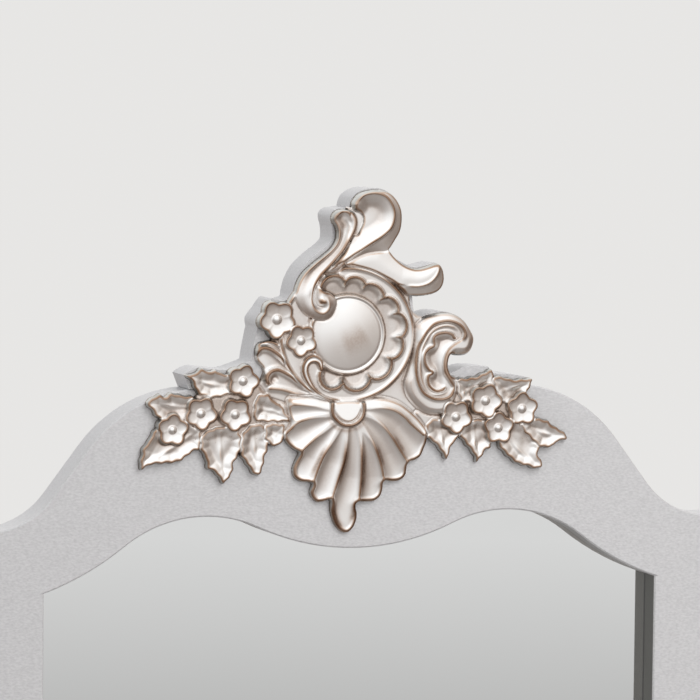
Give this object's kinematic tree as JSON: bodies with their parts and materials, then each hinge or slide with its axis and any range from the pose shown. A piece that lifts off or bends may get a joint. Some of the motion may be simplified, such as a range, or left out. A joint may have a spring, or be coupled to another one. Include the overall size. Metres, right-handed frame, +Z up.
{
  "type": "vanity mirror",
  "caption": "Upright wall-hung vanity mirror: a flat silver-painted frame with a serpentine top, a rebated glass and a cast rococo crest of shell, scrolls, leaves and flowers.",
  "frame": {"origin": "centre of the bottom edge, at mid-thickness of the frame boards", "axes": "+X to the right seen from the front, the mirror faces -Y, +Z up"},
  "size_m": [0.51, 0.0405, 0.8188],
  "materials": {
    "silver_paint": "matt silver paint with a fine grain",
    "crest_silver": "polished silver leaf with brown patina in the hollows",
    "mirror_silvered": "polished silvered glass",
    "hardboard": "smooth brown hardboard",
    "tenon_wood": "bare beech",
    "hardware_brass": "bright brass plating",
    "hardware_steel": "zinc-plated",
    "bumper_rubber": "matt black"
  },
  "bodies": {
    "frame": {"top_rail": "silver_paint", "left_stile": "silver_paint", "right_stile": "silver_paint", "bottom_rail": "silver_paint", "crest_backboard": "silver_paint", "corner_tenons": "tenon_wood", "crest_tenons": "tenon_wood", "mirror_glass": "mirror_silvered", "backing_board": "hardboard", "turn_button_screws": "hardware_steel", "hanger_plate_left": "hardware_steel", "hanger_plate_right": "hardware_steel", "hanger_screws": "hardware_steel", "wall_bumpers": "bumper_rubber", "crest_upper_flowers": "crest_silver", "crest_left_flowers": "crest_silver", "crest_right_flowers": "crest_silver", "crest_s_scroll": "crest_silver", "crest_clasp": "crest_silver", "crest_dome": "crest_silver", "crest_scallop_ring": "crest_silver", "crest_top_plume": "crest_silver", "crest_side_plume": "crest_silver", "crest_c_scroll": "crest_silver", "crest_ribs": "crest_silver", "crest_shell": "crest_silver", "crest_left_leaves": "crest_silver", "crest_right_leaves": "crest_silver"},
    "hanger_ring_left": {"hanger_ring_left": "hardware_steel"},
    "hanger_ring_right": {"hanger_ring_right": "hardware_steel"},
    "turn_button_left_lower": {"turn_button_left_lower": "hardware_brass"},
    "turn_button_left_upper": {"turn_button_left_upper": "hardware_brass"},
    "turn_button_right_lower": {"turn_button_right_lower": "hardware_brass"},
    "turn_button_right_upper": {"turn_button_right_upper": "hardware_brass"},
    "turn_button_top": {"turn_button_top": "hardware_brass"},
    "turn_button_bottom": {"turn_button_bottom": "hardware_brass"}
  },
  "joints": [
    {"name": "hanger_ring_left_swing", "type": "hinge", "parent": "frame", "child": "hanger_ring_left", "pos_m": [-0.23, 0.0155, 0.47], "axis": [1, 0, 0], "range_deg": [0, 180]},
    {"name": "hanger_ring_right_swing", "type": "hinge", "parent": "frame", "child": "hanger_ring_right", "pos_m": [0.23, 0.0155, 0.47], "axis": [1, 0, 0], "range_deg": [0, 180]},
    {"name": "turn_button_left_lower_turn", "type": "hinge", "parent": "frame", "child": "turn_button_left_lower", "pos_m": [-0.223, 0.01355, 0.16995], "axis": [0, 1, 0], "continuous": true},
    {"name": "turn_button_left_upper_turn", "type": "hinge", "parent": "frame", "child": "turn_button_left_upper", "pos_m": [-0.223, 0.01355, 0.35123], "axis": [0, 1, 0], "continuous": true},
    {"name": "turn_button_right_lower_turn", "type": "hinge", "parent": "frame", "child": "turn_button_right_lower", "pos_m": [0.223, 0.01355, 0.16995], "axis": [0, 1, 0], "continuous": true},
    {"name": "turn_button_right_upper_turn", "type": "hinge", "parent": "frame", "child": "turn_button_right_upper", "pos_m": [0.223, 0.01355, 0.35123], "axis": [0, 1, 0], "continuous": true},
    {"name": "turn_button_top_turn", "type": "hinge", "parent": "frame", "child": "turn_button_top", "pos_m": [0, 0.01355, 0.63028], "axis": [0, 1, 0], "continuous": true},
    {"name": "turn_button_bottom_turn", "type": "hinge", "parent": "frame", "child": "turn_button_bottom", "pos_m": [0, 0.01355, 0.042], "axis": [0, 1, 0], "continuous": true}
  ]
}
